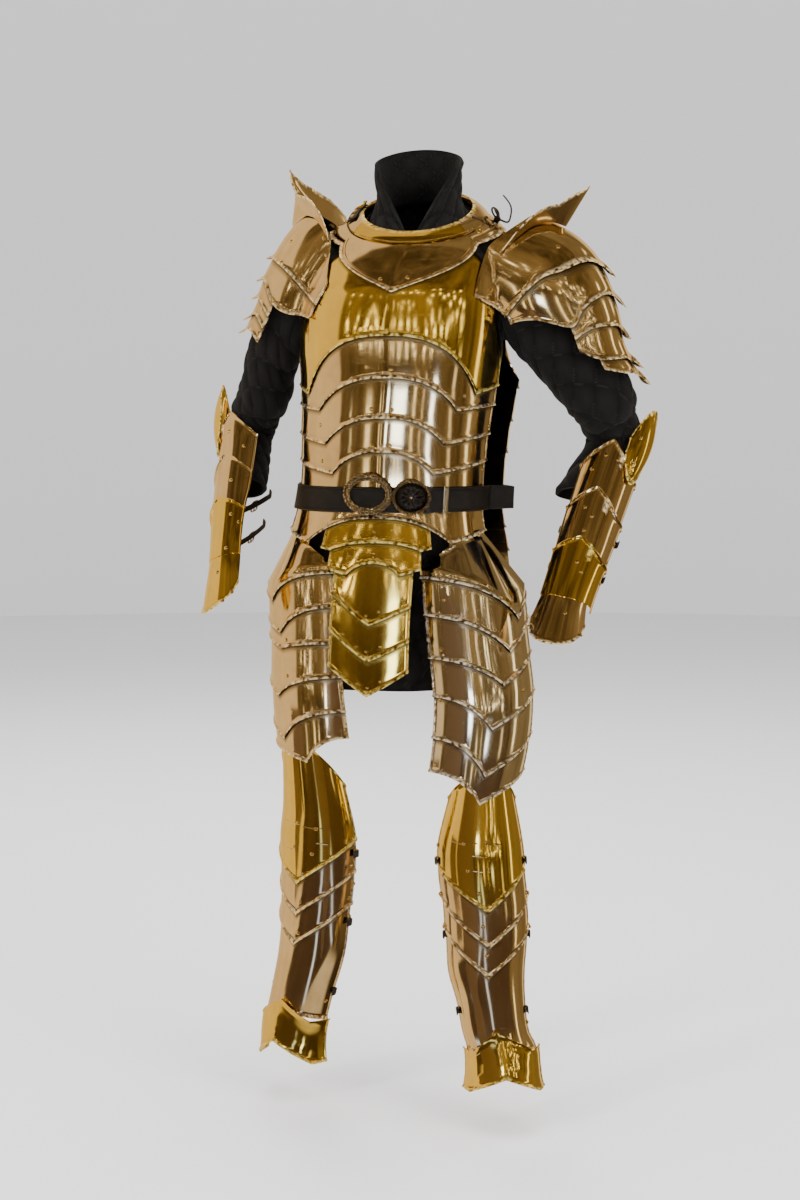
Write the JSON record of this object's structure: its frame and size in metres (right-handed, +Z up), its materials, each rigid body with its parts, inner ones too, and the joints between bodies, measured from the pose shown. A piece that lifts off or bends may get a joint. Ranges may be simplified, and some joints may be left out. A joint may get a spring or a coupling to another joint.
{
  "type": "costume plate armour with quilted coat",
  "caption": "Hollow costume armour: riveted lames over chest, shoulders, thighs, forearms and shins, on a black quilted coat with a leather belt, held in its worn pose.",
  "frame": {"origin": "base of the neck, on the body's middle axis, where the gorget rests on the wearer's shoulders", "axes": "+Z up along the body, -Y the way the wearer faces, +X the wearer's left"},
  "size_m": [0.772, 0.3036, 1.5791],
  "materials": {
    "bronzed_steel": "polished, warm bronze tone, smoked towards the edges",
    "gilded_brass": "polished gold tone",
    "black_cloth": "matt black cotton, diamond quilted",
    "black_leather": "smooth black, slight sheen",
    "dark_pewter": "cast, darkened in its grooves"
  },
  "bodies": {
    "root": {"ankle_plate_left": "gilded_brass", "ankle_plate_right": "gilded_brass", "back_lames": "bronzed_steel", "back_plate": "bronzed_steel", "belly_lame_1": "bronzed_steel", "belly_lame_2": "bronzed_steel", "belly_lame_3": "bronzed_steel", "belt_boss": "dark_pewter", "belt_buckle": "dark_pewter", "belt_strap": "black_leather", "breastplate": "gilded_brass", "centre_tasset_1": "gilded_brass", "centre_tasset_2": "gilded_brass", "centre_tasset_3": "gilded_brass", "culet": "bronzed_steel", "elbow_wing_left": "gilded_brass", "elbow_wing_right": "gilded_brass", "fauld_lame_1": "bronzed_steel", "fauld_lame_2": "gilded_brass", "fauld_lame_3": "gilded_brass", "gambeson_body": "black_cloth", "gambeson_collar": "black_cloth", "gorget_collar": "gilded_brass", "gorget_yoke_back": "bronzed_steel", "gorget_yoke_front": "bronzed_steel", "hand_plate_left": "bronzed_steel", "hand_plate_right": "bronzed_steel", "knee_plate_left": "gilded_brass", "knee_plate_right": "gilded_brass", "pauldron_left_lame_2": "bronzed_steel", "pauldron_left_lame_3": "bronzed_steel", "pauldron_left_lame_4": "bronzed_steel", "pauldron_left_lame_5": "bronzed_steel", "pauldron_left_top": "bronzed_steel", "pauldron_left_wing": "bronzed_steel", "pauldron_right_lame_2": "bronzed_steel", "pauldron_right_lame_3": "bronzed_steel", "pauldron_right_lame_4": "bronzed_steel", "pauldron_right_lame_5": "bronzed_steel", "pauldron_right_top": "bronzed_steel", "pauldron_right_wing": "bronzed_steel", "shin_lames_left": "bronzed_steel", "shin_lames_right": "bronzed_steel", "sleeve_left": "black_cloth", "sleeve_right": "black_cloth", "tasset_left_1": "bronzed_steel", "tasset_left_2": "bronzed_steel", "tasset_left_3": "bronzed_steel", "tasset_left_4": "bronzed_steel", "tasset_left_5": "bronzed_steel", "tasset_left_6": "bronzed_steel", "tasset_right_1": "bronzed_steel", "tasset_right_2": "bronzed_steel", "tasset_right_3": "bronzed_steel", "tasset_right_4": "bronzed_steel", "tasset_right_5": "bronzed_steel", "tasset_right_6": "bronzed_steel", "vambrace_left": "bronzed_steel", "vambrace_right": "bronzed_steel", "waist_plate_front": "bronzed_steel"}
  },
  "joints": []
}
